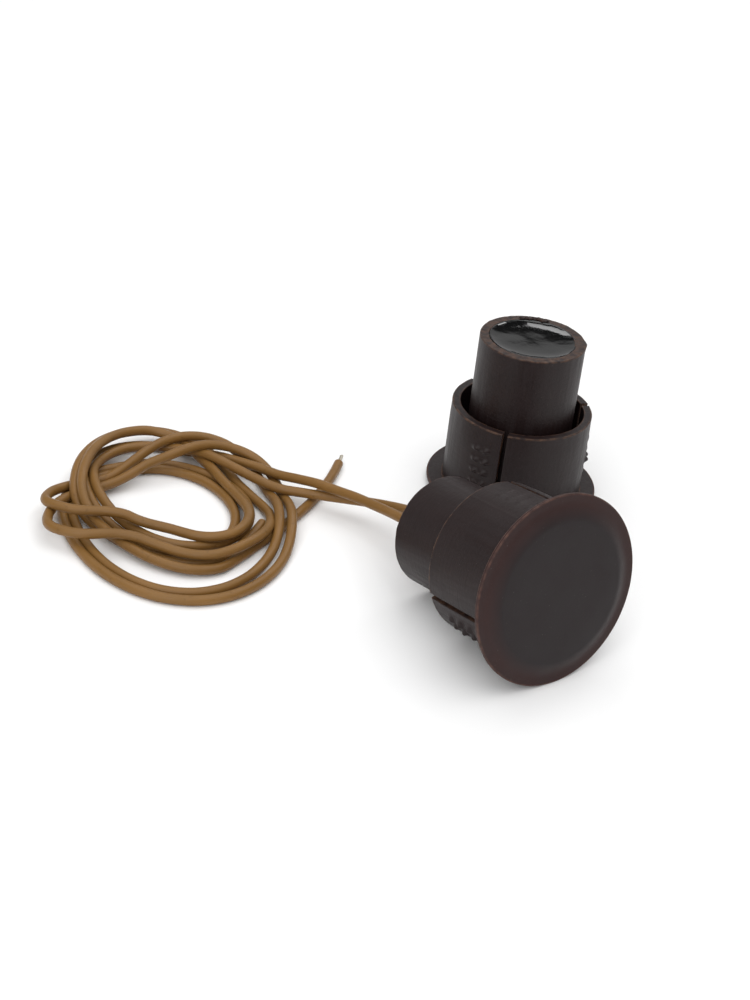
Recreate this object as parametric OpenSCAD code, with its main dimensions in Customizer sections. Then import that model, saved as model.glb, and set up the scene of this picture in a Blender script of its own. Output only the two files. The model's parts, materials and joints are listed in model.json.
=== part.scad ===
// Flush door contact: a plug-in reed switch unit with two leads, lying on its side,
// and the matching magnet unit, standing on its face.
// Both units use one moulding: a round head, a slotted collar that grips the drilled
// hole, and a thin potted tube in the middle.
// Origin: centre of the magnet unit's face, on the surface. +Z is up along its tube.

/* [Head] */
// Diameter of the head that covers the edge of the hole
flange_d = 23.2; // [21:0.1:26]
// Distance from the face to the flat back of the head
flange_t = 1.3; // [1.2:0.1:1.6]
// Diameter of the raised middle of the face
face_d = 18; // [14:0.2:19]
// How far the middle of the face stands above the thin rim
face_rise = 0.8; // [0.5:0.05:0.85]

/* [Collar] */
// Outside diameter of the collar, for a 19 mm hole
collar_d = 18.9; // [18:0.1:19]
// Wall of the collar
collar_wall = 1.15; // [0.8:0.05:1.3]
// Diameter of the smooth land at the collar's end, which enters the hole first
land_d = 18.8; // [18:0.1:18.9]
// Distance from the face to the end of the collar
collar_end = 12.6; // [12.4:0.2:15]
// Width of each slot that splits the collar
slot_w = 0.7; // [0.6:0.05:1]
// Height of the ring at the collar's root
root_h = 0.3; // [0.2:0.05:0.5]
// Gap at the root of each finger, where the plastic flexes
root_gap = 0.2; // [0.15:0.01:0.25]

/* [Teeth] */
// Number of gripping teeth in a column
tooth_count = 4; // [2:1:4]
// Distance from the face to the first tooth
tooth_first = 4.1; // [3.5:0.1:4.5]
// Spacing of the teeth
tooth_pitch = 1.65; // [1.4:0.05:1.7]
// How far a tooth stands out of the collar
tooth_proud = 0.35; // [0.2:0.05:0.45]
// Width of a tooth around the collar, in degrees
tooth_arc = 9; // [6:1:12]
// Distance of the column from its slot, in degrees
tooth_lag = 18; // [12:1:30]

/* [Tube] */
// Outside diameter of the tube
tube_d = 14; // [13.6:0.1:14.4]
// Wall of the tube
tube_wall = 1.2; // [1:0.05:1.4]
// Distance from the face to the open end of the tube
body_len = 22.6; // [22:0.2:26]
// Distance of the resin's surface below the tube's end
resin_dip = 0.5; // [0.2:0.1:0.8]

/* [Reed switch] */
// Diameter of the glass capsule
glass_d = 2; // [1.8:0.1:2.4]
// Length of the glass capsule
glass_len = 10; // [9.6:0.2:10.4]
// Wall of the glass
glass_wall = 0.3; // [0.2:0.05:0.35]
// Length of the solid glass seal at each end
seal_len = 1.2; // [1:0.1:1.4]
// Diameter of the reed's wires
reed_wire_d = 0.5; // [0.4:0.05:0.6]
// Thickness of a contact blade
blade_t = 0.2; // [0.15:0.01:0.22]
// Width of a contact blade
blade_w = 1; // [0.8:0.05:1.1]
// Gap between the two blades at rest
contact_gap = 0.15; // [0.12:0.01:0.2]
// Length over which the blades overlap
blade_overlap = 0.8; // [0.5:0.1:1]

/* [Magnet] */
// Diameter of the magnet
magnet_d = 10; // [8:0.5:11]
// Length of the magnet
magnet_len = 12; // [8:0.5:16]

/* [Leads] */
// Diameter of a lead over its insulation
lead_d = 1.3; // [1.1:0.1:1.4]
// Diameter of the tinned strands
core_d = 0.5; // [0.4:0.05:0.6]
// Distance between the two leads where they leave the resin
lead_spacing = 3.1; // [2.6:0.1:3.6]
// Length of bare strands at the free end
bare_len = 1.8; // [1:0.2:4]

/* [Layout] */
// Turn of the magnet unit about its own axis
magnet_turn = 97; // [0:1:120]
// Turn of the switch unit about its own axis
switch_turn = 45; // [0:1:120]
// Place of the switch unit's face, across
switch_x = -23.6; // [-23.9:0.1:-23.3]
// Place of the switch unit's face, along
switch_y = -36.4; // [-36.7:0.1:-36.1]

/* [Hidden] */
$fn = 96;

brown = [0.20, 0.15, 0.145];
tan_pvc = [0.55, 0.39, 0.22];
solder_grey = [0.72, 0.72, 0.74];

flange_r = flange_d / 2;
face_r = face_d / 2;
collar_r = collar_d / 2;
collar_in_r = collar_r - collar_wall;
land_r = land_d / 2;
tube_r = tube_d / 2;
bore_r = tube_r - tube_wall;
// Play that keeps potted pieces just clear of each other
play = 0.02;
resin_r = bore_r - play;
resin_end = body_len - resin_dip;

// The thin rim is widest at this distance from the face, and its back edge is eased
rim_widest = flange_t - 0.3;
rim_ease = 0.15;

// The collar grows out of a ring on the back of the head, a little wider than itself
root_r = collar_r + 0.1;
root_end = flange_t + root_h;
finger_start = root_end + root_gap;

// The last tooth's slope ends this far from its start, and the land follows it
tooth_run = 1.1;
land_start = tooth_first + (tooth_count - 1) * tooth_pitch + tooth_run + 0.2;

// A finger's arc is a third of the circle less one slot
slot_deg = 2 * asin(slot_w / 2 / collar_r);
finger_deg = 120 - slot_deg;

// Along the tube, measured from the face
wire_x = lead_spacing / 2;
glass_start = 5;
glass_end = glass_start + glass_len;
cavity_start = glass_start + seal_len;
cavity_end = glass_end - seal_len;
bend_at = 3.3;
sleeve_d = 1.1;
sleeve_start = 4;
sleeve_end = 16.2;
solder_start = 16.8;
solder_end = 18.8;
solder_r = 0.55;
wire_in_solder = 0.4;
strip_end = 19.4;
blade_root_gap = 0.1;
blade_front_start = cavity_start + blade_root_gap;
blade_rear_end = cavity_end - blade_root_gap;
blade_mid = (cavity_start + cavity_end) / 2;
blade_off = (contact_gap + blade_t) / 2;

// The switch unit rests on the rim of its head and on the end of its collar
lie_tilt = atan((flange_r - land_r) / (collar_end - rim_widest));
switch_z = rim_widest * sin(lie_tilt) + flange_r * cos(lie_tilt);

// A point given in the switch unit's own frame, moved to where the unit lies
function at_switch(p) = [
    switch_x + p[0],
    switch_y + p[2] * cos(lie_tilt) - p[1] * sin(lie_tilt),
    switch_z - p[2] * sin(lie_tilt) - p[1] * cos(lie_tilt)
];

// Routes of the free leads, from the resin to the coil and from the coil to the end
route_a = concat(
    [at_switch([-wire_x, 0, resin_end]), at_switch([-wire_x, 0, resin_end + 3])],
    [
        [-25.0, -8.0, 6.1], [-24.9, -5.0, 5.4], [-25.1, -2.0, 4.8], [-25.5, 1.0, 4.3],
        [-26.2, 4.0, 3.8], [-27.2, 7.0, 3.5], [-28.3, 10.0, 2.9], [-29.6, 13.0, 2.3],
        [-30.9, 16.0, 2.0]
    ]
);
route_b = concat(
    [at_switch([wire_x, 0, resin_end]), at_switch([wire_x, 0, resin_end + 3])],
    [
        [-22.0, -8.0, 5.9], [-22.1, -5.0, 4.9], [-22.5, -2.0, 3.9], [-23.4, 1.0, 3.0],
        [-24.8, 3.6, 2.4], [-26.8, 6.0, 2.1], [-29.0, 8.2, 2.0], [-31.2, 10.4, 2.0]
    ]
);
route_tail = [
    [-33.5, 4.4, 0.7], [-31.2, 5.6, 0.7], [-28.6, 7.0, 0.7], [-26.0, 8.6, 0.7],
    [-23.5, 10.4, 0.7], [-21.0, 12.4, 0.7], [-18.8, 14.4, 0.8]
];
tip_rise = 0.3;

// The coil is a round-ended ring that holds every turn of both leads
coil_near = [-46.8, 7.8];
coil_far = [-43.6, 18.8];
coil_out_r = 15.2;
coil_in_r = 7;
coil_h = 3.9;

function unit(v) = v / norm(v);
function heading(path, i) =
    unit(path[min(i + 1, len(path) - 1)] - path[max(i - 1, 0)]);
function ring(path, i, r, sides) = let(
    along = heading(path, i),
    across = unit(cross(along, [0, 0, 1])),
    over = cross(across, along)
) [for (k = [0:sides - 1])
    path[i] + r * (cos(360 * k / sides) * across + sin(360 * k / sides) * over)];

// A round cord swept through a list of points
module swept_cord(path, r, sides = 8) {
    last = (len(path) - 1) * sides;
    points = [for (i = [0:len(path) - 1]) each ring(path, i, r, sides)];
    walls = [for (i = [0:len(path) - 2], k = [0:sides - 1]) [
        i * sides + k,
        i * sides + (k + 1) % sides,
        (i + 1) * sides + (k + 1) % sides,
        (i + 1) * sides + k
    ]];
    start_cap = [[for (k = [sides - 1:-1:0]) k]];
    end_cap = [[for (k = [0:sides - 1]) last + k]];
    polyhedron(points, concat(walls, start_cap, end_cap));
}

// Stand a unit on its face at the origin
module on_magnet() {
    rotate([0, 0, magnet_turn])
        children();
}

// Lay a unit on its side, with its face towards -Y
module on_switch() {
    translate([switch_x, switch_y, switch_z])
        rotate([-90 - lie_tilt, 0, 0])
            children();
}

// A rod between two distances along the tube
module rod(x, y, from, to, r) {
    translate([x, y, from])
        cylinder(h = to - from, r = r);
}

// Head and tube, one moulding
module housing() {
    rotate_extrude()
        polygon([
            [0, 0], [face_r, 0],
            [face_r + 0.35, 0.1 * face_rise], [face_r + 0.7, 0.5 * face_rise],
            [face_r + 1.1, 0.9 * face_rise], [face_r + 1.5, face_rise],
            [flange_r - rim_ease, face_rise], [flange_r, rim_widest - 0.1],
            [flange_r, rim_widest], [flange_r - rim_ease, flange_t],
            [root_r, flange_t], [root_r, root_end],
            [collar_in_r, root_end], [collar_in_r, flange_t], [tube_r, flange_t],
            [tube_r, body_len - 0.1], [tube_r - 0.1, body_len],
            [bore_r, body_len], [bore_r, flange_t], [0, flange_t]
        ]);
}

// One gripping tooth: steep towards the head, sloped towards the collar's end
module tooth(at) {
    rotate([0, 0, 120 - tooth_lag - tooth_arc / 2])
        rotate_extrude(angle = tooth_arc)
            polygon([
                [collar_r - 0.3, at], [collar_r + tooth_proud - 0.05, at],
                [collar_r + tooth_proud, at + 0.15],
                [collar_r + tooth_proud * 0.7, at + 0.6],
                [collar_r, at + tooth_run], [collar_r - 0.3, at + tooth_run]
            ]);
}

// One third of the split collar, with its column of teeth
module finger(index) {
    rotate([0, 0, 120 * index]) {
        rotate([0, 0, slot_deg / 2])
            rotate_extrude(angle = finger_deg)
                polygon([
                    [collar_in_r, finger_start], [collar_r, finger_start],
                    [collar_r, land_start], [land_r, land_start + 0.1],
                    [land_r, collar_end - 0.15], [land_r - 0.15, collar_end],
                    [collar_in_r, collar_end]
                ]);
        for (k = [0:tooth_count - 1])
            tooth(tooth_first + k * tooth_pitch);
    }
}

// Half turn of the reed's front wire, where it is folded back along the glass
module wire_bend(r) {
    translate([0, 0, bend_at])
        rotate([-90, 0, 0])
            rotate_extrude(angle = 180)
                translate([wire_x, 0])
                    circle(r);
}

module switch_housing() {
    on_switch()
        color(brown)
            housing();
}

module switch_finger_a() {
    on_switch()
        color(brown)
            rotate([0, 0, switch_turn])
                finger(0);
}

module switch_finger_b() {
    on_switch()
        color(brown)
            rotate([0, 0, switch_turn])
                finger(1);
}

module switch_finger_c() {
    on_switch()
        color(brown)
            rotate([0, 0, switch_turn])
                finger(2);
}

// Resin that fills the tube around the reed, its wires and the lead roots
module switch_resin() {
    on_switch()
        color([0.05, 0.05, 0.05])
            difference() {
                rod(0, 0, flange_t, resin_end, resin_r);
                rod(-wire_x, 0, glass_start, glass_end, glass_d / 2 + play);
                rod(-wire_x, 0, bend_at, solder_start, reed_wire_d / 2 + play);
                rod(wire_x, 0, bend_at, solder_start, reed_wire_d / 2 + play);
                rod(wire_x, 0, sleeve_start, sleeve_end, sleeve_d / 2 + play);
                wire_bend(reed_wire_d / 2 + play);
                for (side = [-1, 1]) {
                    rod(side * wire_x, 0, solder_start, solder_end, solder_r + play);
                    rod(side * wire_x, 0, solder_end, strip_end, core_d / 2 + play);
                    rod(side * wire_x, 0, strip_end, body_len, lead_d / 2 + play);
                }
            }
}

// Sealed glass capsule
module reed_glass() {
    on_switch()
        color([0.75, 0.85, 0.85])
            translate([-wire_x, 0, 0])
                rotate_extrude()
                    polygon([
                        [reed_wire_d / 2 + play, glass_start],
                        [glass_d / 2 - 0.3, glass_start],
                        [glass_d / 2, glass_start + 0.5],
                        [glass_d / 2, glass_end - 0.5],
                        [glass_d / 2 - 0.3, glass_end],
                        [reed_wire_d / 2 + play, glass_end],
                        [reed_wire_d / 2 + play, cavity_end],
                        [glass_d / 2 - glass_wall, cavity_end - 0.3],
                        [glass_d / 2 - glass_wall, cavity_start + 0.3],
                        [reed_wire_d / 2 + play, cavity_start]
                    ]);
}

// A flat contact blade between two distances along the tube
module blade(from, to, side) {
    translate([-wire_x - blade_w / 2, side * blade_off - blade_t / 2, from])
        cube([blade_w, blade_t, to - from]);
}

module reed_blade_front() {
    on_switch()
        color("silver")
            blade(blade_front_start, blade_mid + blade_overlap / 2, 1);
}

module reed_blade_rear() {
    on_switch()
        color("silver")
            blade(blade_mid - blade_overlap / 2, blade_rear_end, -1);
}

// Front wire: out of the glass, folded back, and along to its solder joint
module reed_wire_front() {
    on_switch()
        color(solder_grey) {
            rod(-wire_x, 0, bend_at, cavity_start, reed_wire_d / 2);
            wire_bend(reed_wire_d / 2);
            rod(wire_x, 0, bend_at, solder_start + wire_in_solder, reed_wire_d / 2);
        }
}

module reed_wire_rear() {
    on_switch()
        color(solder_grey)
            rod(-wire_x, 0, cavity_end, solder_start + wire_in_solder, reed_wire_d / 2);
}

// Sleeve that insulates the wire folded back past the glass
module return_sleeve() {
    on_switch()
        color("white")
            difference() {
                rod(wire_x, 0, sleeve_start, sleeve_end, sleeve_d / 2);
                rod(wire_x, 0, bend_at, solder_start, reed_wire_d / 2 + play);
            }
}

// Blob of solder that joins a reed wire to a lead's strands
module solder_joint(side) {
    on_switch()
        color(solder_grey)
            difference() {
                rod(side * wire_x, 0, solder_start, solder_end, solder_r);
                rod(side * wire_x, 0, bend_at, solder_start + wire_in_solder,
                    reed_wire_d / 2 + play);
                rod(side * wire_x, 0, solder_end - wire_in_solder, strip_end,
                    core_d / 2 + play);
            }
}

module solder_joint_a() {
    solder_joint(-1);
}

module solder_joint_b() {
    solder_joint(1);
}

// Insulation of a lead where it is held in the resin
module lead_root(side) {
    on_switch()
        color(tan_pvc)
            difference() {
                rod(side * wire_x, 0, strip_end, resin_end, lead_d / 2);
                rod(side * wire_x, 0, solder_end, body_len, core_d / 2 + play);
            }
}

module lead_a_root() {
    lead_root(-1);
}

module lead_b_root() {
    lead_root(1);
}

// Tinned strands of a lead, from the solder to the surface of the resin
module lead_strands(side) {
    on_switch()
        color(solder_grey)
            rod(side * wire_x, 0, solder_end - wire_in_solder, resin_end, core_d / 2);
}

module lead_a_strands() {
    lead_strands(-1);
}

module lead_b_strands() {
    lead_strands(1);
}

module lead_a_run() {
    color(tan_pvc)
        swept_cord(route_a, lead_d / 2);
}

module lead_b_run() {
    color(tan_pvc)
        swept_cord(route_b, lead_d / 2);
}

// A flat outline with round ends
module round_ended(r) {
    apart = norm(coil_far - coil_near);
    lean = atan2(coil_far[1] - coil_near[1], coil_far[0] - coil_near[0]);
    translate(coil_near)
        circle(r);
    translate(coil_far)
        circle(r);
    translate(coil_near)
        rotate([0, 0, lean])
            translate([0, -r])
                square([apart, 2 * r]);
}

module lead_coil() {
    color(tan_pvc)
        linear_extrude(height = coil_h)
            difference() {
                round_ended(coil_out_r);
                round_ended(coil_in_r);
            }
}

module lead_a_tail() {
    color(tan_pvc)
        swept_cord(route_tail, lead_d / 2);
}

// Bare tinned strands at the lead's free end
module lead_a_tip() {
    last = len(route_tail) - 1;
    start = route_tail[last];
    along = heading(route_tail, last);
    color(solder_grey)
        swept_cord([start, start + bare_len / 2 * along,
            start + bare_len * along + [0, 0, tip_rise]], core_d / 2);
}

module magnet_housing() {
    on_magnet()
        color(brown)
            housing();
}

module magnet_finger_a() {
    on_magnet()
        color(brown)
            finger(0);
}

module magnet_finger_b() {
    on_magnet()
        color(brown)
            finger(1);
}

module magnet_finger_c() {
    on_magnet()
        color(brown)
            finger(2);
}

module magnet() {
    on_magnet()
        color([0.3, 0.3, 0.32])
            rod(0, 0, flange_t, flange_t + magnet_len, magnet_d / 2);
}

// Resin that surrounds the magnet and closes the tube
module magnet_resin() {
    on_magnet()
        color([0.05, 0.05, 0.05])
            difference() {
                rod(0, 0, flange_t, resin_end, resin_r);
                rod(0, 0, 0, flange_t + magnet_len, magnet_d / 2 + play);
            }
}

switch_housing();
switch_finger_a();
switch_finger_b();
switch_finger_c();
switch_resin();
reed_glass();
reed_blade_front();
reed_blade_rear();
reed_wire_front();
reed_wire_rear();
return_sleeve();
solder_joint_a();
solder_joint_b();
lead_a_root();
lead_b_root();
lead_a_strands();
lead_b_strands();
lead_a_run();
lead_b_run();
lead_coil();
lead_a_tail();
lead_a_tip();
magnet_housing();
magnet_finger_a();
magnet_finger_b();
magnet_finger_c();
magnet();
magnet_resin();
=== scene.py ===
"""Looks of a door contact sensor: a reed switch unit with two leads, and its magnet unit."""
import json
import math

import bmesh
import bpy
import numpy as np
from mathutils import Matrix, Vector, noise


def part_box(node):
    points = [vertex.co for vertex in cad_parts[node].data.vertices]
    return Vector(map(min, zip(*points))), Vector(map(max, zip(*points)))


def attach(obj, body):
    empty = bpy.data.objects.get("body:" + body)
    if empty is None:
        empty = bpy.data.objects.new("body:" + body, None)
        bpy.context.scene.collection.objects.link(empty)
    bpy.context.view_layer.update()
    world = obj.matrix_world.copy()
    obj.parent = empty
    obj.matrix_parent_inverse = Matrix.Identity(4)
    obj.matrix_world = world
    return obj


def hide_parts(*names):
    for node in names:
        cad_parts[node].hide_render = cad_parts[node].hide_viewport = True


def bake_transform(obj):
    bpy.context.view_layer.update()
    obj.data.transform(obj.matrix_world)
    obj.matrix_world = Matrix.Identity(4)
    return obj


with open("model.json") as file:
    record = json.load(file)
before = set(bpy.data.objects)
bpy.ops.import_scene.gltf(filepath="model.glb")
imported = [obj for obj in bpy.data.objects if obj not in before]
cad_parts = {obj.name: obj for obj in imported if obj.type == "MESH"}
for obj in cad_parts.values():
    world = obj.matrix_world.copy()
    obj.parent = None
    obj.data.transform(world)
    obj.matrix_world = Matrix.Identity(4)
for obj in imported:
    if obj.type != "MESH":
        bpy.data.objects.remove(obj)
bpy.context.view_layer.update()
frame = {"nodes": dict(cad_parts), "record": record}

# Lengths are in millimetres until a mesh or a light is made, and MM turns them into metres
MM = 0.001
MOUNTS = {mount["name"]: mount for mount in frame["record"]["mounts"]}

# ---------------------------------------------------------------- the moulding, both units

LOW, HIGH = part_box("magnet_housing")
HEAD_R = (HIGH.x - LOW.x) / 2 / MM
BODY_LEN = (HIGH.z - LOW.z) / MM
COLLAR_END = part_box("magnet_finger_a")[1].z / MM
RESIN_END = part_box("magnet_resin")[1].z / MM
COLLAR_R = MOUNTS["magnet_collar"]["dims"]["r_mm"]
TUBE_R = MOUNTS["magnet_tube"]["dims"]["r_mm"]
HEAD_T = MOUNTS["magnet_seat"]["pos_m"][2] / MM

# Sizes of the moulding that the frame doesn't hold
FACE_R = 9.0
FACE_RISE = 0.8
# The step from the raised face down to the rim starts this far from the face's edge
DISH_FROM = -0.5
DISH_WIDE = 2.3
DISH_STEPS = 8
COLLAR_WALL = 1.15
TUBE_WALL = 1.2
BORE_R = TUBE_R - TUBE_WALL
LAND_R = 9.4
LAND_START = 10.35
ROOT_TOP = 1.55
LAND_SLOPE = 1.4
SLOT_W = 0.7
FINGERS = "abc"
FINGER_DEGREES = 120
# How far a finger's surface reaches down into the ring at its root
ROOT_OVERLAP = 0.15

TOOTH_FIRST = 4.1
TOOTH_PITCH = 1.65
TOOTH_COUNT = 4
TOOTH_RUN = 1.1
TOOTH_PROUD = 0.35
# The column of teeth is this many degrees before the middle of the next slot
TOOTH_LAG = 18
# Each tooth is two lobes side by side; shares of its run say where it rises and falls
LOBE_APART = 0.68
LOBE_WIDE = 0.50
TOOTH_RISE = 0.35
TOOTH_FALL_FROM = 0.45
TOOTH_SHIFT = 0.12
TOOTH_UNEVEN = 0.5
LOBE_LIMIT = 1.05
# How well each finger's column of teeth was moulded, and one strong tooth in a faint column
TOOTH_STRENGTH = {"magnet": (1.5, 0.25, 1.0), "switch": (1.3, 0.3, 0.6)}
PROUD_TOOTH = ("magnet", 1, 1)
PROUD_STRENGTH = 1.3
MOULD_LINE_FINGER = 1
MOULD_LINE_AT = 83
MOULD_LINE_PROUD = 0.045
MOULD_LINE_WIDE = 0.09

# How far the slots are turned round each unit's axis, in degrees
TURNS = {"magnet": 97, "switch": 45}
MENISCUS = 0.42
MENISCUS_WIDE = 1.2
RESIN_SWELL = 0.035
RESIN_RISE = 0.03
# The tube of the magnet unit was cut unevenly: a burr and a thicker wall on one side
BURR_AT = 320
BURR_WIDE = 7
BURR_HIGH = 0.16
BURR_OUT = 0.14
THICK_SIDE = 0.32
THICK_WIDE = 30
RIM_DEEP = 0.6
# How much lighter the rim's top is painted: partly real wear, partly painted highlight
RIM_WEAR_AND_SHEEN = 0.7
CRUMB_COUNT = 7
CRUMB_FROM = 34
CRUMB_APART = 5
CRUMB_R = 0.36

# ---------------------------------------------------------------- the leads

LEAD_D = 1.3
LEAD_R = LEAD_D / 2
LEAD_SPACING = 3.1
STRAND_COUNT = 7
STRAND_R = 0.085
TIP_LENGTH = 1.8
TIP_RISE = 0.3
TIP_B_LENGTH = 0.8

# Where each lead lies between its exit and the coil, and lead a's end beyond the coil
ROUTE_A = [
    (-25.0, -8.0, 6.1), (-24.9, -5.0, 5.4), (-25.1, -2.0, 4.8), (-25.5, 1.0, 4.3),
    (-26.2, 4.0, 3.8), (-27.2, 7.0, 3.5), (-28.3, 10.0, 2.9), (-29.6, 13.0, 2.3),
    (-30.9, 16.0, 2.0),
]
ROUTE_B = [
    (-22.0, -8.0, 5.9), (-22.1, -5.0, 4.9), (-22.5, -2.0, 3.9), (-23.4, 1.0, 3.0),
    (-24.8, 3.6, 2.4), (-26.8, 6.0, 2.1), (-29.0, 8.2, 2.0), (-31.2, 10.4, 2.0),
]
ROUTE_TAIL = [
    (-33.5, 4.4, 0.7), (-31.2, 5.6, 0.7), (-28.6, 7.0, 0.7), (-26.0, 8.6, 0.7),
    (-23.5, 10.4, 0.7), (-21.0, 12.4, 0.7), (-18.8, 14.4, 0.8),
]

# The coil follows one oval after another: place where it takes over, counted in turns, then the
# oval's middle x and y, its longer and shorter half, and the heading of the longer one
OVALS_A = [
    (0.00, -44.2, 16.8, 13.4, 10.4, 90),
    (0.50, -46.0, 14.2, 10.7, 9.0, 90),
    (1.25, -44.9, 14.0, 19.5, 12.9, 68),
    (2.07, -45.3, 12.8, 11.2, 8.4, 90),
    (3.00, -45.6, 15.6, 16.3, 10.1, 64),
    (3.33, -46.8, 15.2, 16.0, 9.0, 90),
]
OVALS_B = [
    (0.00, -44.0, 16.2, 12.2, 9.5, 90),
    (0.50, -45.0, 14.2, 11.4, 9.6, 90),
    (1.25, -44.6, 12.7, 20.0, 14.1, 68),
    (2.02, -44.6, 10.9, 11.3, 10.8, 90),
    (2.92, -46.4, 15.2, 18.2, 10.8, 61),
    (3.38, -45.6, 15.6, 14.8, 9.6, 90),
]
# The third turn is drawn out to a point and then runs straight, and lead b's end stands off a
# little: place, how far out, and how wide that is before and after
PULLS_A = [(2.436, 7.7, 0.15, 0.085), (2.665, -2.8, 0.16, 0.13)]
PULLS_B = [(2.467, 7.0, 0.19, 0.085), (2.610, -1.3, 0.12, 0.12), (3.90, 3.2, 0.10, 0.12)]
# Where a turn passes over others: place along the turns, half its width in turns, height in layers
HUMPS = [
    (0.42, 0.14, 0.7),
    (1.90, 0.09, 1.1),
    (2.17, 0.21, 2.1),
    (2.53, 0.22, 2.1),
    (2.78, 0.22, 1.9),
    (3.31, 0.24, 1.9),
    (3.93, 0.13, 0.5),
]
LAYER = 1.2
# Turns over which one oval becomes the next, turns over which a lead comes down into the coil,
# and from how high
EASE_IN = 0.2
ARRIVAL = 0.18
ARRIVAL_RISE = 1.35
# Points in one turn, and the first and last one of each lead's turns
POINTS_PER_TURN = 32
SPAN_A = (4, 121)
SPAN_B = (2, 124)
LINE_STEP = 1.0

# How the leads settle: rounds, points that are held at the unit and then let go, and what each
# round does
ROUNDS = 240
HELD = 24
LET_GO = 8
NEAR = 3 * LEAD_D
NEIGHBOURS = 7
PUSH = 1.4
STIFFNESS = 4
EVENNESS = 0.5
RETURN = 0.998
SINK = 0.002
SINK_SHARE = 0.8

# ---------------------------------------------------------------- camera and light

# The photograph's viewpoint, fitted to the outlines of both units; angles are in radians
CAMERA_AT = (-143.0, -151.7, 118.7)
CAMERA_YAW = 0.6688
CAMERA_PITCH = 0.5361
CAMERA_ROLL = 0.1154
LENS = 62.57
SENSOR = 36
NEAREST = 0.01

# Each lamp's name, place, size and watts, and where they all point
LAMPS = [
    ("top", (-60, -60, 620), (1200, 1200), 6.0),
    ("back_left", (190, 292, 321), (150, 90), 0.16),
    ("back_right", (331, 134, 321), (120, 90), 0.22),
    ("fill", (-420, -260, 240), (320, 320), 0.8),
]
LAMPS_FACE = (-20, -5, 8)
# How bright the sky is at a height, which is 0 on the horizon and 1 overhead
SKY = 0.5
DARK_BAND = 0.03
SKY_STEPS = [(0.42, SKY), (0.46, DARK_BAND), (0.76, DARK_BAND), (0.84, SKY)]
FLOOR_HALF = 1500
FLOOR_DROP = 0.02
FLOOR_GREY = 0.93


def srgb(red, green, blue):
    """A colour given as 0 to 255 on a screen, as the linear colour that shaders use."""
    def linear(value):
        share = value / 255
        if share <= 0.04045:
            return share / 12.92
        return ((share + 0.055) / 1.055) ** 2.4
    return (linear(red), linear(green), linear(blue), 1.0)


def ease(share):
    """Smooth step from 0 to 1."""
    share = min(max(share, 0.0), 1.0)
    return share * share * (3 - 2 * share)


def bump_at(place, middle, half):
    """1 at the middle, easing to 0 half a width away on either side."""
    return 1 - ease(abs(place - middle) / half)


def make_camera():
    """The camera at the photograph's viewing angle."""
    sin_yaw = math.sin(CAMERA_YAW)
    cos_yaw = math.cos(CAMERA_YAW)
    sin_pitch = math.sin(CAMERA_PITCH)
    cos_pitch = math.cos(CAMERA_PITCH)
    ahead = Vector((sin_yaw * cos_pitch, cos_yaw * cos_pitch, -sin_pitch))
    level = Vector((cos_yaw, -sin_yaw, 0))
    above = level.cross(ahead)
    right = math.cos(CAMERA_ROLL) * level + math.sin(CAMERA_ROLL) * above
    up = math.cos(CAMERA_ROLL) * above - math.sin(CAMERA_ROLL) * level
    turn = Matrix((right, up, -ahead)).transposed().to_4x4()
    camera = bpy.data.cameras.new("camera")
    camera.lens = LENS
    camera.sensor_width = SENSOR
    camera.clip_start = NEAREST
    eye = bpy.data.objects.new("camera", camera)
    eye.matrix_world = Matrix.Translation(Vector(CAMERA_AT) * MM) @ turn
    bpy.context.collection.objects.link(eye)
    bpy.context.scene.camera = eye


# ---------------------------------------------------------------- cords

def unit_place(name):
    """Matrix from a unit's own frame, metres with z along the tube, to the row frame."""
    face = MOUNTS[name + "_face"]
    along = -Vector(face["axis"]).normalized()
    side = Vector((1, 0, 0))
    over = along.cross(side)
    turn = Matrix((side, over, along)).transposed().to_4x4()
    return Matrix.Translation(Vector(face["pos_m"])) @ turn


def at_unit(name, x, y, z):
    """A point in a unit's own frame, in mm, as a point of the row frame in mm."""
    return tuple(unit_place(name) @ Vector((x * MM, y * MM, z * MM)) / MM)


def oval_distance(longer, shorter, angle):
    """Distance from an oval's middle to its edge."""
    across = math.hypot(shorter * math.cos(angle), longer * math.sin(angle))
    return longer * shorter / across


def oval_at(ovals, place):
    """The oval at a place along the turns; each one eases into the next."""
    shape = np.array(ovals[0][1:], float)
    for start, *oval in ovals[1:]:
        shape += (np.array(oval) - shape) * ease((place - start) / EASE_IN)
    return shape


def coil_point(ovals, pulls, place):
    """Point of the coil at a place along its turns."""
    x, y, longer, shorter, heading = oval_at(ovals, place)
    angle = 2 * math.pi * place
    distance = oval_distance(longer, shorter, angle - math.radians(heading))
    for middle, out, before, after in pulls:
        distance += out * bump_at(place, middle, before if place < middle else after)
    layers = sum(height * bump_at(place, middle, half) for middle, half, height in HUMPS)
    rise = max(LAYER * layers, ARRIVAL_RISE * (1 - ease(place / ARRIVAL)))
    return (x + distance * math.cos(angle), y + distance * math.sin(angle), LEAD_R + rise)


def coil_turns(ovals, pulls, span):
    """The turns of one lead, point by point."""
    first, last = span
    return [coil_point(ovals, pulls, k / POINTS_PER_TURN) for k in range(first, last + 1)]


def blend_points(p0, p1, p2, p3, shares):
    """Centripetal Catmull-Rom curve between the two middle points."""
    t1 = np.linalg.norm(p1 - p0) ** 0.5
    t2 = t1 + np.linalg.norm(p2 - p1) ** 0.5
    t3 = t2 + np.linalg.norm(p3 - p2) ** 0.5
    t = (t1 + (t2 - t1) * shares)[:, None]
    a1 = (t1 - t) / t1 * p0 + t / t1 * p1
    a2 = (t2 - t) / (t2 - t1) * p1 + (t - t1) / (t2 - t1) * p2
    a3 = (t3 - t) / (t3 - t2) * p2 + (t - t2) / (t3 - t2) * p3
    b1 = (t2 - t) / t2 * a1 + t / t2 * a2
    b2 = (t3 - t) / (t3 - t1) * a2 + (t - t1) / (t3 - t1) * a3
    return (t2 - t) / (t2 - t1) * b1 + (t - t1) / (t2 - t1) * b2


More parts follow.
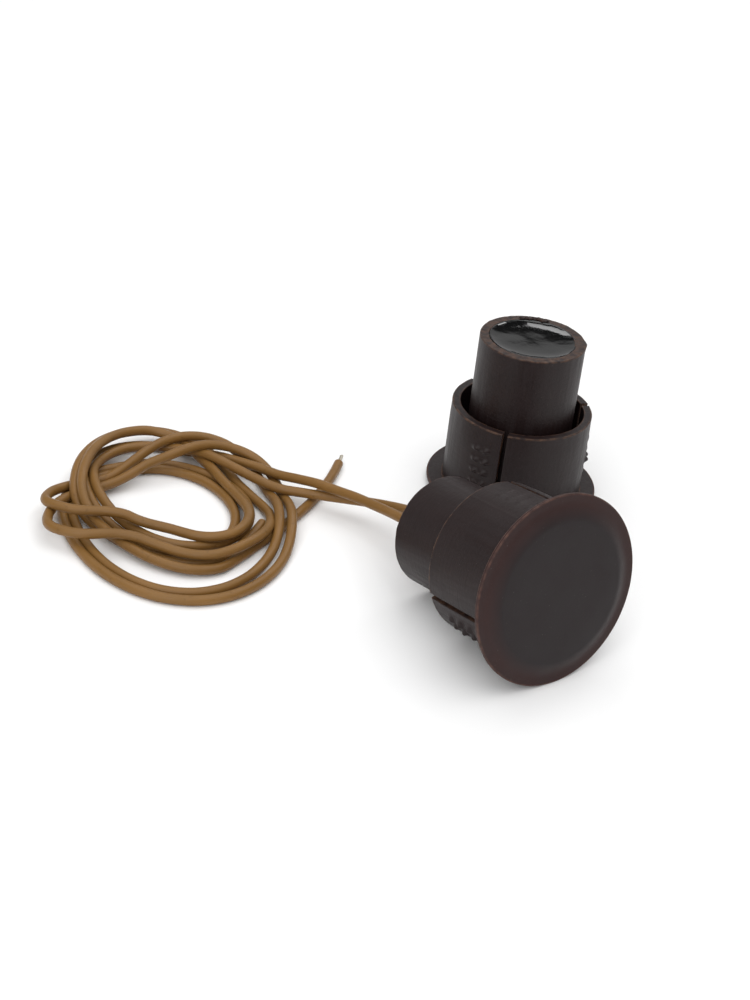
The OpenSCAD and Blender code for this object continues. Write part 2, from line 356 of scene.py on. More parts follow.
def resample(points, step):
    """The same line with its points one step apart."""
    gaps = np.linalg.norm(np.diff(points, axis=0), axis=1)
    along = np.concatenate([[0], np.cumsum(gaps)])
    count = int(round(along[-1] / step))
    places = np.linspace(0, along[-1], count + 1)
    return np.stack([np.interp(places, along, points[:, k]) for k in range(3)], -1)


def smooth_line(points, step):
    """A smooth curve through the points."""
    p = np.array(points, float)
    p = np.vstack([2 * p[0] - p[1], p, 2 * p[-1] - p[-2]])
    shares = np.linspace(0, 1, 12, endpoint=False)
    pieces = [blend_points(*p[k:k + 4], shares) for k in range(len(p) - 3)]
    return resample(np.vstack(pieces + [p[-2:-1]]), step)


def contact_pairs(lines):
    """Pairs of points that may touch: near each other, but not neighbours on one lead."""
    home = np.vstack(lines)
    owner = np.repeat(np.arange(len(lines)), [len(line) for line in lines])
    order = np.concatenate([np.arange(len(line)) for line in lines])
    near = np.linalg.norm(home[:, None] - home[None], axis=2) < NEAR
    other_lead = owner[:, None] != owner[None]
    further_on = np.abs(order[:, None] - order[None]) > NEIGHBOURS
    return np.nonzero(np.triu(near & (other_lead | further_on), 1))


def push_apart(points, first, second):
    """How each point moves so that no two leads share space."""
    across = points[first] - points[second]
    gap = np.maximum(np.linalg.norm(across, axis=1), 1e-6)
    short = np.clip(LEAD_D - gap, 0, None) / 2
    step = across / gap[:, None] * short[:, None]
    total = np.zeros_like(points)
    hits = np.zeros(len(points))
    np.add.at(total, first, step)
    np.add.at(total, second, -step)
    np.add.at(hits, first, short > 0)
    np.add.at(hits, second, short > 0)
    return total / np.maximum(hits, 1)[:, None]


def even_out(shift, ends):
    """Spreads each lead's shifts along it, so that it bends smoothly."""
    for start, end in zip(ends[:-1], ends[1:]):
        part = shift[start:end]
        mean = part.copy()
        mean[1:-1] = (part[:-2] + part[1:-1] + part[2:]) / 3
        shift[start:end] = part + EVENNESS * (mean - part)


def settle(lines):
    """Lets the leads sink onto the floor and each other. The first points of each lead are held."""
    home = np.vstack(lines)
    ends = np.cumsum([0] + [len(line) for line in lines])
    first, second = contact_pairs(lines)
    loose = np.concatenate([
        np.clip((np.arange(len(line)) - HELD) / LET_GO, 0, 1) for line in lines
    ])
    points = home.copy()
    for count in range(ROUNDS):
        shift = points - home + PUSH * push_apart(points, first, second)
        for _ in range(STIFFNESS):
            even_out(shift, ends)
        shift[:, :2] *= RETURN
        if count < SINK_SHARE * ROUNDS:
            shift[:, 2] -= SINK
        points = home + shift * loose[:, None]
        points[:, 2] = np.maximum(points[:, 2], LEAD_R)
    return [points[start:end] for start, end in zip(ends[:-1], ends[1:])]


def lead_lines():
    """The centre lines of both leads, in mm."""
    exits = {}
    for name, side in (("a", -1), ("b", 1)):
        x = side * LEAD_SPACING / 2
        exits[name] = [at_unit("switch", x, 0, RESIN_END + out) for out in (0, 3)]
    points_a = exits["a"] + ROUTE_A + coil_turns(OVALS_A, PULLS_A, SPAN_A) + ROUTE_TAIL
    points_b = exits["b"] + ROUTE_B + coil_turns(OVALS_B, PULLS_B, SPAN_B)
    rough = [smooth_line(points, LINE_STEP) for points in (points_a, points_b)]
    return [smooth_line(line, LINE_STEP / 2) for line in settle(rough)]


def make_lead(name, line, material):
    """One lead's insulation, a round cord along its line."""
    curve = bpy.data.curves.new(name, "CURVE")
    curve.dimensions = "3D"
    curve.bevel_depth = LEAD_R * MM
    curve.bevel_resolution = 5
    curve.use_fill_caps = True
    spline = curve.splines.new("POLY")
    spline.points.add(len(line) - 1)
    for point, place in zip(spline.points, line):
        point.co = (*(place * MM), 1)
    spline.use_smooth = True
    curve.materials.append(material)
    lead = bpy.data.objects.new(name, curve)
    bpy.context.collection.objects.link(lead)
    return lead


# ---------------------------------------------------------------- meshes

def make_mesh(name, points, faces, materials, place=None, marks=None):
    """An object from points in mm. Its own points are kept as an attribute for the materials."""
    mesh = bpy.data.meshes.new(name)
    place = place or Matrix.Identity(4)
    mesh.from_pydata([place @ (Vector(point) * MM) for point in points], [], faces)
    own = mesh.attributes.new("own_place", "FLOAT_VECTOR", "POINT")
    own.data.foreach_set("vector", np.array(points, np.float32).ravel())
    for key, values in (marks or {}).items():
        mark = mesh.attributes.new(key, "FLOAT", "POINT")
        mark.data.foreach_set("value", np.array(values, np.float32))
    for material in materials:
        mesh.materials.append(material)
    made = bmesh.new()
    made.from_mesh(mesh)
    bmesh.ops.remove_doubles(made, verts=made.verts, dist=1e-7)
    bmesh.ops.recalc_face_normals(made, faces=made.faces)
    made.to_mesh(mesh)
    made.free()
    mesh.polygons.foreach_set("use_smooth", [True] * len(mesh.polygons))
    piece = bpy.data.objects.new(name, mesh)
    bpy.context.collection.objects.link(piece)
    return piece


def round_corners(outline, steps=4):
    """Outline of (r, z, corner radius) as (r, z, edge mark), with the mark 1 on the rounded corners:
    partly real edge wear, partly painted edge highlight.
    """
    result = []
    for k, (r, z, radius) in enumerate(outline):
        if radius == 0:
            result.append((r, z, 0.0))
            continue
        corner = np.array((r, z), float)
        back = np.array(outline[k - 1][:2], float) - corner
        on = np.array(outline[(k + 1) % len(outline)][:2], float) - corner
        back_unit = back / np.linalg.norm(back)
        on_unit = on / np.linalg.norm(on)
        margin = min(2 * radius, 0.45 * np.linalg.norm(back), 0.45 * np.linalg.norm(on))
        radius = min(radius, 0.9 * margin)
        result.append((*(corner + back_unit * margin), 0.0))
        for step in range(steps + 1):
            t = step / steps
            near = (1 - t) ** 2 * back_unit + t ** 2 * on_unit
            result.append((*(corner + near * radius), 1.0))
        result.append((*(corner + on_unit * margin), 0.0))
    return result


def lathe(name, outline, materials, place, warp, sides=216):
    """Turns an outline of (r, z, edge mark) round the axis; the mark is partly real wear and partly
    painted edge highlight. warp moves each point a little.
    """
    points = []
    wear_and_sheen = []
    for k in range(sides):
        angle = 2 * math.pi * k / sides
        for r, z, wear_sheen_share in outline:
            radius, height = warp(r, z, math.degrees(angle))
            points.append((radius * math.cos(angle), radius * math.sin(angle), height))
            wear_and_sheen.append(wear_sheen_share)
    count = len(outline)
    faces = []
    for k in range(sides):
        here = k * count
        there = (k + 1) % sides * count
        for row in range(count - 1):
            faces.append((here + row, here + row + 1, there + row + 1, there + row))
    return make_mesh(name, points, faces, materials, place, {"wear_and_sheen": wear_and_sheen})


def wobble(angle, seed, lumps):
    """Smooth irregular value between about -1 and 1, going once round a circle."""
    turn = math.radians(angle)
    return noise.noise(Vector((lumps * math.cos(turn), lumps * math.sin(turn), seed)))


def angle_gap(angle, other):
    """Degrees between two directions."""
    return abs((angle - other + 180) % 360 - 180)


def housing_outline():
    """Head and tube, from the middle of the face round to the floor of the bore. Its rim's top gets
    the lighter edge colour: partly real wear, partly painted highlight.
    """
    dish = [
        (FACE_R + DISH_FROM + DISH_WIDE * k / DISH_STEPS, FACE_RISE * ease(k / DISH_STEPS), 0)
        for k in range(1, DISH_STEPS + 1)
    ]
    root_r = COLLAR_R + 0.1
    collar_in_r = COLLAR_R - COLLAR_WALL
    outline = round_corners([
        (0, 0, 0), (FACE_R - 3, 0, 0), (FACE_R + DISH_FROM, 0, 0), *dish,
        (HEAD_R, FACE_RISE, 0.14), (HEAD_R, HEAD_T, 0.16),
        (root_r, HEAD_T, 0.06), (root_r, ROOT_TOP, 0.08),
        (collar_in_r, ROOT_TOP, 0.06), (collar_in_r, HEAD_T, 0.06),
        (TUBE_R, HEAD_T, 0.15), (TUBE_R, BODY_LEN - 0.8, 0), (TUBE_R, BODY_LEN, 0.13),
        (BORE_R, BODY_LEN, 0.11), (BORE_R, BODY_LEN - 1.2, 0), (BORE_R, HEAD_T, 0), (0, HEAD_T, 0),
    ])
    # The rim's top is painted lighter: partly worn plastic, partly a painted highlight on the top
    # face
    rim_from = BODY_LEN - 0.2
    return [(r, z, max(wear_sheen_share, RIM_WEAR_AND_SHEEN) if z > rim_from else wear_sheen_share) for r, z, wear_sheen_share in outline]


def rim_warp(unit):
    """The tube's rim is cut unevenly; the magnet unit's has a burr and a thick side."""
    seed = TURNS[unit]
    burr = 1.0 if unit == "magnet" else 0.2

    def warp(r, z, angle):
        on_tube = r < TUBE_R + 0.1
        near_rim = ease((z - BODY_LEN + RIM_DEEP) / RIM_DEEP) if on_tube else 0
        off = angle_gap(angle, BURR_AT)
        cut = 0.07 * wobble(angle, seed, 2.2) + 0.05 * wobble(angle, seed + 5, 9) - 0.06
        lift = BURR_HIGH * burr * math.exp(-(off / BURR_WIDE) ** 2)
        radius = r
        if r > BORE_R + 0.5:
            radius += BURR_OUT * burr * math.exp(-(off / BURR_WIDE) ** 2) * near_rim
        if abs(r - BORE_R) < 0.3:
            radius -= THICK_SIDE * burr * math.exp(-(off / THICK_WIDE) ** 2) * near_rim
        if r < BORE_R + 0.3:
            radius += 0.05 * wobble(angle, seed + 9, 7) * near_rim
        return radius, z + near_rim * (cut + lift)

    return warp


def tooth_height(unit, finger, arc, z):
    """How far a tooth stands out, at an arc distance from the column's middle and a height."""
    row = int((z - TOOTH_FIRST) // TOOTH_PITCH)
    if row < 0 or row >= TOOTH_COUNT:
        return 0
    run = (z - TOOTH_FIRST - row * TOOTH_PITCH) / TOOTH_RUN
    if run > 1:
        return 0
    slope = ease(run / TOOTH_RISE) * (1 - ease((run - TOOTH_FALL_FROM) / (1 - TOOTH_FALL_FROM)))
    seed = Vector((TURNS[unit], 7.3 * finger, 3.1 * row))
    shift = TOOTH_SHIFT * noise.noise(seed)
    uneven = TOOTH_UNEVEN * noise.noise(seed + Vector((0.5, 0.5, 0.5)))
    strength = TOOTH_STRENGTH[unit][finger] * (1 + uneven)
    if (unit, finger, row) == PROUD_TOOTH:
        strength = PROUD_STRENGTH
    left = math.exp(-((arc + LOBE_APART + shift) / LOBE_WIDE) ** 2)
    right = math.exp(-((arc - LOBE_APART + shift) / LOBE_WIDE) ** 2)
    return TOOTH_PROUD * strength * slope * min(left + right, LOBE_LIMIT)


def finger_outline():
    """Cross-section of a collar finger as (r, z, wear): up its outside, over its end and down."""
    inside = COLLAR_R - COLLAR_WALL
    bottom = ROOT_TOP - ROOT_OVERLAP
    heights = np.arange(bottom, LAND_START, 0.11)
    outer = [(COLLAR_R, float(z), 0.0) for z in heights]
    return outer + round_corners([
        (COLLAR_R, LAND_START, 0), (LAND_R, LAND_START + LAND_SLOPE, 0),
        (LAND_R, COLLAR_END, 0.14), (inside, COLLAR_END, 0.12),
        (inside, ROOT_TOP + 2, 0), (inside, bottom, 0),
    ])


def finger_relief(unit, index, angle, z):
    """How far the teeth and the mould line stand out from a finger."""
    arc = math.radians(angle - (FINGER_DEGREES - TOOTH_LAG)) * COLLAR_R
    proud = tooth_height(unit, index, arc, z)
    if index == MOULD_LINE_FINGER:
        off = math.radians(angle - MOULD_LINE_AT) * COLLAR_R
        proud += MOULD_LINE_PROUD * math.exp(-(off / MOULD_LINE_WIDE) ** 2)
    return proud


def strip_faces(columns, count):
    """Faces of a closed strip: columns of points, joined in rings and capped at both ends."""
    faces = []
    for k in range(columns - 1):
        here = k * count
        there = here + count
        for row in range(count):
            after = (row + 1) % count
            faces.append((here + row, here + after, there + after, there + row))
    last = (columns - 1) * count
    faces.append(tuple(range(count)))
    faces.append(tuple(range(last + count - 1, last - 1, -1)))
    return faces


def make_finger(unit, index, materials):
    """One third of the split collar, with its teeth and, on one finger, the mould line."""
    outline = finger_outline()
    half_slot = math.degrees(math.asin(SLOT_W / 2 / COLLAR_R))
    start = half_slot
    end = FINGER_DEGREES - half_slot
    angles = np.concatenate([[start], np.linspace(start, end, 132), [end]])
    first_turn = TURNS[unit] + FINGER_DEGREES * index
    seed = TURNS[unit] + index
    points = []
    wear_and_sheen = []
    for k, angle in enumerate(angles):
        at_edge = k in (0, len(angles) - 1)
        turn = math.radians(first_turn + angle)
        for r, z, wear_sheen_share in outline:
            outside = r > COLLAR_R - 0.3
            # At the slot's edges the points get the full lighter edge colour: partly real wear,
            # partly painted edge highlight
            if at_edge:
                r += -0.1 if outside else 0.1
                wear_sheen_share = 1.0
            elif outside:
                r += finger_relief(unit, index, angle, z)
            r += 0.02 * wobble(first_turn + angle, seed + z / 3, 3)
            height = z
            if z > COLLAR_END - 0.3:
                height += 0.05 * wobble(first_turn + angle, seed, 6)
            points.append((r * math.cos(turn), r * math.sin(turn), height))
            wear_and_sheen.append(wear_sheen_share)
    faces = strip_faces(len(angles), len(outline))
    name = f"{unit}_collar_{FINGERS[index]}"
    return make_mesh(name, points, faces, materials, unit_place(unit), {"wear_and_sheen": wear_and_sheen})


def resin_outline():
    """The resin's skin: nearly flat, and drawn up the wall of the bore at its edge."""
    top = RESIN_END + 0.02
    edge = BORE_R - 0.02
    rows = []
    for share in np.linspace(0, 1, 34):
        r = edge * share
        climb = MENISCUS * math.exp(-(edge - r) / MENISCUS_WIDE)
        rows.append((r, top + climb, 0.0))
    return rows + [(edge, top - 0.01, 0.0), (0, top - 0.01, 0.0)]


def resin_warp(unit):
    """The cast resin isn't quite flat: its top lies in low swells."""
    seed = TURNS[unit] + 20

    def warp(r, z, angle):
        top = z > RESIN_END + 0.015
        turn = math.radians(angle)
        place = Vector((r * math.cos(turn) * 0.35, r * math.sin(turn) * 0.35, seed))
        swell = RESIN_SWELL * noise.noise(place) + RESIN_RISE if top else 0
        reach = 1 - 0.01 * (1 + wobble(angle, seed, 5))
        return r * reach, z + swell

    return warp


def join_faces(parts):
    """Several lists of points and faces as one."""
    points = []
    faces = []
    for part_points, part_faces in parts:
        base = len(points)
        points += part_points
        faces += [tuple(base + corner for corner in face) for face in part_faces]
    return points, faces


def lump(middle, radius, seed):
    """A small irregular blob."""
    ball = bmesh.new()
    bmesh.ops.create_icosphere(ball, subdivisions=3, radius=1)
    points = []
    for vertex in ball.verts:
        swell = 1 + 0.45 * noise.noise(vertex.co * 1.6 + Vector((seed, seed, 0)))
        flat = Vector((vertex.co.x, vertex.co.y, 0.55 * vertex.co.z))
        points.append(tuple(Vector(middle) + flat * radius * swell))
    faces = [tuple(vertex.index for vertex in face.verts) for face in ball.faces]
    ball.free()
    return points, faces


def make_rim_crumbs(material):
    """Crumbs of plastic left on the far side of the magnet unit's rim."""
    parts = []
    middle_r = (TUBE_R + BORE_R) / 2
    for k in range(CRUMB_COUNT):
        turn = math.radians(CRUMB_FROM + CRUMB_APART * k + 3 * noise.noise(Vector((k, 0.4, 1))))
        r = middle_r - 0.35 + 0.3 * noise.noise(Vector((k, 3.7, 2)))
        size = CRUMB_R + 0.22 * noise.noise(Vector((k, 1.9, 5)))
        middle = (r * math.cos(turn), r * math.sin(turn), BODY_LEN + 0.02)
        parts.append(lump(middle, size, 3 + k))
    points, faces = join_faces(parts)
    # The crumbs get some of the lighter edge colour: partly real wear, partly painted highlight
    marks = {"wear_and_sheen": [0.4] * len(points)}
    return make_mesh("magnet_rim_crumbs", points, faces, [material], unit_place("magnet"), marks)


def tube_along(line, radius, sides=10):
    """Points and faces of a closed round rod along a line."""
    line = np.array(line, float)
    ahead = np.gradient(line, axis=0)
    ahead /= np.linalg.norm(ahead, axis=1)[:, None]
    points = []
    for place, direction in zip(line, ahead):
        side = np.cross(direction, (0.3, 0.2, 1.0))
        side /= np.linalg.norm(side)
        over = np.cross(side, direction)
        for k in range(sides):
            turn = 2 * math.pi * k / sides
            points.append(tuple(place + radius * (math.cos(turn) * side + math.sin(turn) * over)))
    faces = []
    for row in range(len(line) - 1):
        for k in range(sides):
            after = (k + 1) % sides
            here = row * sides
            there = here + sides
            faces.append((here + k, here + after, there + after, there + k))
    last = (len(line) - 1) * sides
    faces.append(tuple(range(sides - 1, -1, -1)))
    faces.append(tuple(range(last, last + sides)))
    return points, faces


def make_bare_end(name, line, length, rise, material):
    """The bare strands at a lead's end: one in the middle and six twisted round it."""
    end = line[-1]
    ahead = end - line[-4]
    ahead /= np.linalg.norm(ahead)
    side = np.cross(ahead, (0, 0, 1))
    over = np.cross(side, ahead)
    parts = []
    for strand in range(STRAND_COUNT):
        reach = length * (0.9 + 0.1 * math.sin(5 * strand))
        strand_line = []
        for share in np.linspace(-0.25, 1, 24):
            centre = end + ahead * reach * share + np.array((0, 0, rise * max(share, 0) ** 2))
            turn = 2 * math.pi * (strand / (STRAND_COUNT - 1) + 0.45 * share)
            out = 0 if strand == STRAND_COUNT - 1 else 2 * STRAND_R
            strand_line.append(centre + out * (math.cos(turn) * side + math.sin(turn) * over))
        parts.append(tube_along(strand_line, STRAND_R))
    points, faces = join_faces(parts)
    return make_mesh(name, points, faces, [material])


# ---------------------------------------------------------------- materials

class Surface:
    """A material with one Principled shader, and short ways to add nodes to it."""

    def __init__(self, name, **constants):
        self.material = bpy.data.materials.new(name)
        self.material.use_nodes = True
        self.tree = self.material.node_tree
        self.tree.nodes.clear()
        self.shader = self.add("ShaderNodeBsdfPrincipled")
        output = self.add("ShaderNodeOutputMaterial")
        self.join(self.shader.outputs["BSDF"], output.inputs["Surface"])
        for key, value in constants.items():
            self.shader.inputs[key.replace("_", " ")].default_value = value

    def add(self, kind):
        return self.tree.nodes.new(kind)

    def join(self, source, target):
        self.tree.links.new(source, target)

    def place(self, own=True, stretch=(1, 1, 1)):
        """Where on the piece: its own frame in mm if it has one, or else the row frame in mm."""
        mapping = self.add("ShaderNodeMapping")
        if own:
            source = self.add("ShaderNodeAttribute")
            source.attribute_name = "own_place"
            self.join(source.outputs["Vector"], mapping.inputs["Vector"])
            mapping.inputs["Scale"].default_value = stretch
        else:
            source = self.add("ShaderNodeTexCoord")
            self.join(source.outputs["Object"], mapping.inputs["Vector"])
            mapping.inputs["Scale"].default_value = [part / MM for part in stretch]
        return mapping.outputs["Vector"]

    def grain(self, place, size, detail=3):
        """Noise with features of about this size, in mm."""
        grain = self.add("ShaderNodeTexNoise")
        grain.inputs["Scale"].default_value = 1 / size
        grain.inputs["Detail"].default_value = detail
        self.join(place, grain.inputs["Vector"])
        return grain.outputs["Fac"]

    def spread(self, value, low, high, to_low=0.0, to_high=1.0):
        """A value between low and high, spread over another range."""
        spread = self.add("ShaderNodeMapRange")
        settings = (low, high, to_low, to_high)
        for key, number in zip(("From Min", "From Max", "To Min", "To Max"), settings):
            spread.inputs[key].default_value = number
        self.join(value, spread.inputs["Value"])
        return spread.outputs["Result"]

    def times(self, one, other):
        product = self.add("ShaderNodeMath")
        product.operation = "MULTIPLY"
        self.join(one, product.inputs[0])
        self.join(other, product.inputs[1])
        return product.outputs[0]

    def mix(self, share, one, other):
        """Mix of two colours; each is a colour or the output of a node."""
        mix = self.add("ShaderNodeMix")
        mix.data_type = "RGBA"
        self.join(share, mix.inputs["Factor"])
        for key, colour in zip(("A", "B"), (one, other)):
            socket = [s for s in mix.inputs if s.name == key and s.type == "RGBA"][0]
            if isinstance(colour, tuple):
                socket.default_value = colour
            else:
                self.join(colour, socket)
        return [s for s in mix.outputs if s.type == "RGBA"][0]

    def relief(self, height, depth, below=None):
        """Bump of a depth in mm, on top of another one if given."""
        bump = self.add("ShaderNodeBump")
        bump.inputs["Strength"].default_value = 1.0
        bump.inputs["Distance"].default_value = depth * MM
        self.join(height, bump.inputs["Height"])
        if below is not None:
            self.join(below, bump.inputs["Normal"])
        return bump.outputs["Normal"]

    def mark(self, name):
        """A mark painted on the mesh, such as its worn edges."""
        attribute = self.add("ShaderNodeAttribute")
        attribute.attribute_name = name
        return attribute.outputs["Fac"]

    def colour(self, output):
        self.join(output, self.shader.inputs["Base Color"])

    def rough(self, output):
        self.join(output, self.shader.inputs["Roughness"])

    def normal(self, output):
        self.join(output, self.shader.inputs["Normal"])


def brown_plastic():
    """Moulded dark brown plastic: clouded, finely streaked along the tube, lighter on rounded edges
    and the rim, which is partly real wear and partly painted edge highlight.
    """
    skin = Surface("brown_plastic", Specular_IOR_Level=0.3)
    here = skin.place()
    streaks = skin.grain(skin.place(stretch=(1, 1, 0.06)), size=0.5, detail=4)
    clouds = skin.grain(here, size=3.0)
    fine = skin.grain(here, size=0.12, detail=2)
    base = skin.mix(clouds, srgb(22, 12, 12), srgb(36, 22, 21))
    streak = skin.spread(streaks, low=0.35, high=0.75, to_high=0.5)
    streaked = skin.mix(streak, base, srgb(36, 27, 28))
    patches = skin.spread(skin.grain(here, size=0.8, detail=5), low=0.35, high=0.75)
    # Lighter brown (88, 62, 46) in patches on the marked rounded edges and rim: partly worn plastic,
    # partly painted edge highlight
    wear_sheen_share = skin.times(skin.mark("wear_and_sheen"), patches)
    specks = skin.spread(skin.grain(here, size=0.2, detail=1), low=0.77, high=0.80, to_high=0.5)
    dusted = skin.mix(specks, streaked, srgb(92, 84, 80))
    skin.colour(skin.mix(wear_sheen_share, dusted, srgb(88, 62, 46)))
    skin.rough(skin.spread(streaks, low=0.3, high=0.7, to_low=0.42, to_high=0.56))
    coarse = skin.relief(skin.grain(here, size=0.5), depth=0.025)
    turned = skin.grain(skin.place(stretch=(0.3, 0.3, 4)), size=1.0, detail=4)
    rings = skin.relief(turned, depth=0.02, below=coarse)
    skin.normal(skin.relief(fine, depth=0.006, below=rings))
    return skin.material


def face_plastic():
    """The head: a matt grey-brown middle with tiny specks, a redder thin rim, and lighter rounded
    edges, partly real wear and partly painted edge highlight.
    """
    skin = Surface("head_plastic", Specular_IOR_Level=0.25)
    here = skin.place()
    parts = skin.add("ShaderNodeVectorMath")
    parts.operation = "MULTIPLY"
    parts.inputs[1].default_value = (1, 1, 0)
    skin.join(here, parts.inputs[0])
    length = skin.add("ShaderNodeVectorMath")
    length.operation = "LENGTH"
    skin.join(parts.outputs[0], length.inputs[0])
    rim = skin.spread(length.outputs["Value"], FACE_R - 0.4, FACE_R + 1.3)
    clouds = skin.grain(here, size=4.0)
    middle = skin.mix(clouds, srgb(30, 24, 25), srgb(39, 32, 33))
    edge = skin.mix(clouds, srgb(40, 24, 23), srgb(54, 34, 32))
    body = skin.mix(rim, middle, edge)
    specks = skin.spread(skin.grain(here, size=0.22, detail=1), low=0.76, high=0.80, to_high=0.7)
    speckled = skin.mix(specks, body, srgb(96, 90, 86))
    patchy = skin.grain(here, size=0.9, detail=5)
    patches = skin.spread(patchy, low=0.35, high=0.8, to_low=0.1, to_high=0.8)
    # Lighter (96, 68, 58) in patches on the marked rounded edges: partly worn plastic, partly
    # painted edge highlight
    wear_sheen_share = skin.times(skin.mark("wear_and_sheen"), patches)
    skin.colour(skin.mix(wear_sheen_share, speckled, srgb(96, 68, 58)))
    skin.rough(skin.spread(clouds, low=0.3, high=0.7, to_low=0.50, to_high=0.62))
    coarse = skin.relief(skin.grain(here, size=0.35), depth=0.010)
    skin.normal(skin.relief(skin.grain(here, size=0.09, detail=2), depth=0.004, below=coarse))
    return skin.material


def black_resin():
    """Cast resin: black, glossy, with faint swirls and dust."""
    skin = Surface("black_resin", Specular_IOR_Level=0.55)
    here = skin.place(own=False)
    swirls = skin.grain(here, size=2.0, detail=4)
    skin.colour(skin.mix(swirls, srgb(6, 6, 7), srgb(18, 18, 18)))
    dust = skin.grain(here, size=0.8, detail=5)
    skin.rough(skin.spread(dust, low=0.4, high=0.75, to_low=0.05, to_high=0.14))
    skin.normal(skin.relief(skin.grain(here, size=1.6, detail=2), depth=0.02))
    return skin.material


def tan_pvc():
    """Lead insulation: satin brown vinyl, a little uneven, with small handling marks."""
    skin = Surface("tan_pvc", Specular_IOR_Level=0.3)
    here = skin.place(own=False)
    clouds = skin.grain(here, size=6.0)
    base = skin.mix(clouds, srgb(112, 80, 37), srgb(136, 99, 52))
    marks = skin.spread(skin.grain(here, size=0.7, detail=6), low=0.62, high=0.78, to_high=0.5)
    skin.colour(skin.mix(marks, base, srgb(84, 56, 22)))
    handled = skin.grain(here, size=1.2, detail=4)
    skin.rough(skin.spread(handled, low=0.3, high=0.7, to_low=0.34, to_high=0.52))
    skin.normal(skin.relief(skin.grain(here, size=0.3), depth=0.006))
    return skin.material


# Each metal's dark and light colour, roughness, and size of its stains
METALS = {
    "plated_reed": (srgb(170, 168, 160), srgb(214, 212, 206), 0.22, 1.0),
    "solder": (srgb(150, 150, 152), srgb(206, 206, 208), 0.28, 0.6),
    "tinned_copper": (srgb(150, 142, 128), srgb(214, 208, 196), 0.30, 0.4),
    "magnet_alloy": (srgb(70, 70, 74), srgb(120, 120, 126), 0.38, 1.6),
}


def metal(name, dark, light, roughness, size):
    """Plated or ground metal, with stains and a fine grain."""
    skin = Surface(name, Metallic=1.0)
    here = skin.place(own=False)
    stains = skin.grain(here, size, detail=4)
    skin.colour(skin.mix(stains, dark, light))
    dullest = roughness + 0.15
    skin.rough(skin.spread(stains, low=0.3, high=0.7, to_low=roughness, to_high=dullest))
    skin.normal(skin.relief(skin.grain(here, size / 8), depth=0.003))
    return skin.material


def white_sleeve():
    """Matt white sleeve over the folded wire."""
    skin = Surface("white_sleeve", Roughness=0.75)
    here = skin.place(own=False)
    clouds = skin.grain(here, size=0.8, detail=4)
    skin.colour(skin.mix(clouds, srgb(206, 204, 196), srgb(232, 231, 226)))
    skin.normal(skin.relief(skin.grain(here, size=0.12), depth=0.01))
    return skin.material


def clear_glass():
    """The reed's capsule, faintly green."""
    skin = Surface("clear_glass", Transmission_Weight=1.0, IOR=1.5)
    here = skin.place(own=False)
    clouds = skin.grain(here, size=1.5, detail=2)
    skin.colour(skin.mix(clouds, srgb(226, 240, 234), srgb(240, 248, 244)))
    smears = skin.grain(here, size=1.0)
    skin.rough(skin.spread(smears, low=0.3, high=0.8, to_low=0.02, to_high=0.08))
    return skin.material


def paint_inner_nodes(surfaces):
    """Gives each CAD node the surface of its material slot."""
    for part in frame["record"]["subparts"]:
        node = frame["nodes"][part["node"]]
        node.data.materials.clear()
        node.data.materials.append(surfaces[part["material_slot"]])


# ---------------------------------------------------------------- the studio

def make_floor():
    """A plain pale floor, just below the object."""
    half = FLOOR_HALF
    corners = [(-half, -half, 0), (half, -half, 0), (half, half, 0), (-half, half, 0)]
    skin = Surface("floor", Roughness=0.9, Specular_IOR_Level=0.1)
    grey = (FLOOR_GREY, FLOOR_GREY, FLOOR_GREY, 1)
    skin.shader.inputs["Base Color"].default_value = grey
    floor = make_mesh("floor", corners, [(0, 1, 2, 3)], [skin.material])
    floor.location.z = -FLOOR_DROP * MM


def make_light(name, place, size, watts):
    """A soft rectangular lamp that faces the object."""
    lamp = bpy.data.lights.new(name, "AREA")
    lamp.shape = "RECTANGLE"
    lamp.size, lamp.size_y = (side * MM for side in size)
    lamp.energy = watts
    light = bpy.data.objects.new(name, lamp)
    toward = Vector(LAMPS_FACE) - Vector(place)
    light.location = Vector(place) * MM
    light.rotation_euler = toward.to_track_quat("-Z", "Y").to_euler()
    bpy.context.collection.objects.link(light)


def make_sky():
    """White light all round, but for a darker band at the height of the back lamps."""
    world = bpy.data.worlds.new("studio")
    world.use_nodes = True
    nodes = world.node_tree.nodes
    links = world.node_tree.links
    direction = nodes.new("ShaderNodeTexCoord")
    parts = nodes.new("ShaderNodeSeparateXYZ")
    band = nodes.new("ShaderNodeValToRGB")
    links.new(direction.outputs["Generated"], parts.inputs["Vector"])
    links.new(parts.outputs["Z"], band.inputs["Fac"])
    links.new(band.outputs["Color"], nodes["Background"].inputs["Color"])
    for height, light in SKY_STEPS:
        band.color_ramp.elements.new(height).color = (light, light, light, 1)
    for end in (0, -1):
        band.color_ramp.elements[end].color = (SKY, SKY, SKY, 1)
    bpy.context.scene.world = world


def make_studio():
    """Soft light from above, two small lamps behind, a weak fill on the camera's side, and sky."""
    for name, place, size, watts in LAMPS:
        make_light(name, place, size, watts)
    make_sky()
    bpy.context.scene.view_settings.view_transform = "Standard"


# ---------------------------------------------------------------- putting it together

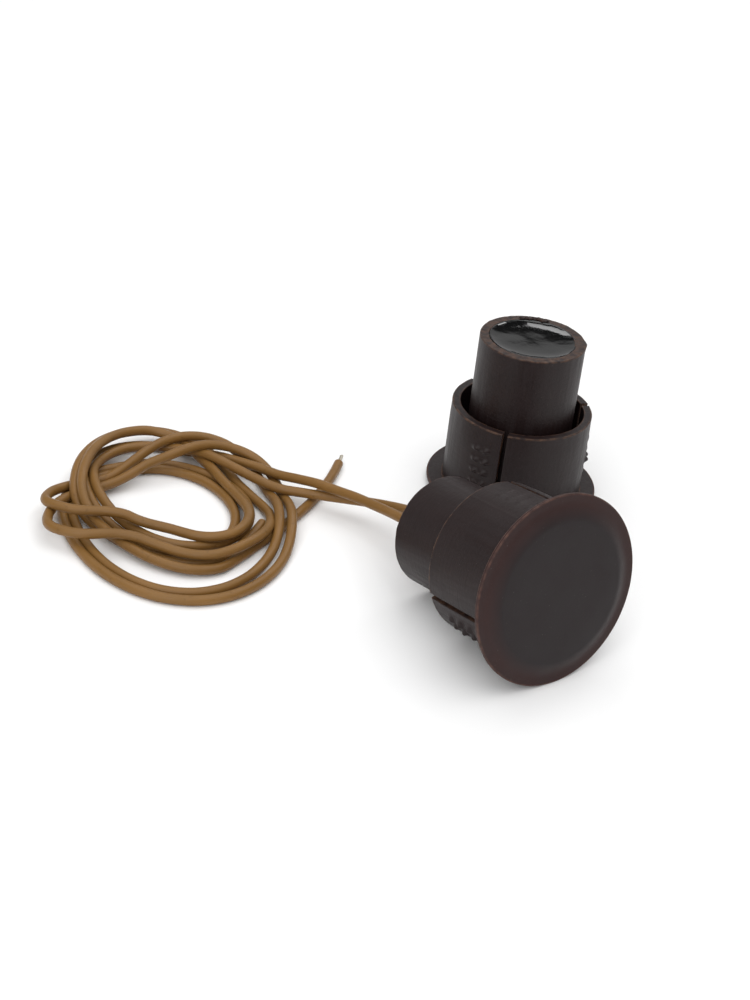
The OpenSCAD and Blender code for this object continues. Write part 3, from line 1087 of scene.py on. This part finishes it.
def make_leads(surfaces):
    """Both leads and their bare ends."""
    line_a, line_b = lead_lines()
    pvc = surfaces["tan_pvc"]
    copper = surfaces["tinned_copper"]
    lead_a = make_lead("lead_a", line_a, pvc)
    lead_b = make_lead("lead_b", line_b, pvc)
    end_a = make_bare_end("lead_a_bare_end", line_a, TIP_LENGTH, TIP_RISE, copper)
    end_b = make_bare_end("lead_b_bare_end", line_b, TIP_B_LENGTH, 0, copper)
    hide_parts("lead_a_run", "lead_a_tail", "lead_coil")
    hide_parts("lead_b_run")
    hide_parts("lead_a_tip")
    for piece in (lead_a, lead_b):
        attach(piece, "switch_unit")
    for piece in (end_a, end_b):
        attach(piece, "switch_unit")


def paint_head(housing, face_index):
    """Gives the faces of the head the second material."""
    place = housing.data.attributes["own_place"].data
    for polygon in housing.data.polygons:
        heights = [place[k].vector[2] for k in polygon.vertices]
        reach = [math.hypot(*place[k].vector[:2]) for k in polygon.vertices]
        in_front = max(heights) < HEAD_T + 0.05 and min(heights) < HEAD_T - 0.02
        on_rim = min(reach) > COLLAR_R + 0.3
        if in_front or on_rim:
            polygon.material_index = face_index


def make_unit(unit, surfaces):
    """The visible moulding and resin of one unit."""
    body = unit + "_unit"
    place = unit_place(unit)
    plastics = [surfaces["brown_plastic"], surfaces["head"]]
    housing = lathe(unit + "_shell", housing_outline(), plastics, place, rim_warp(unit))
    paint_head(housing, 1)
    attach(housing, body)
    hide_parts(unit + "_housing")
    resins = [surfaces["black_resin"]]
    resin = lathe(unit + "_resin_skin", resin_outline(), resins, place, resin_warp(unit))
    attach(resin, body)
    for index, letter in enumerate(FINGERS):
        finger = make_finger(unit, index, plastics[:1])
        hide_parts(f"{unit}_finger_{letter}")
        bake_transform(finger)


def make_surfaces():
    """Every material, by the record's slot name, and the head's own."""
    return {
        "brown_plastic": brown_plastic(),
        "head": face_plastic(),
        "black_resin": black_resin(),
        "tan_pvc": tan_pvc(),
        "clear_glass": clear_glass(),
        "white_sleeve": white_sleeve(),
        **{name: metal(name, *look) for name, look in METALS.items()},
    }


make_camera()
surfaces = make_surfaces()
make_leads(surfaces)
make_unit("magnet", surfaces)
make_unit("switch", surfaces)
crumbs = make_rim_crumbs(surfaces["brown_plastic"])
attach(crumbs, "magnet_unit")
paint_inner_nodes(surfaces)
make_floor()
make_studio()
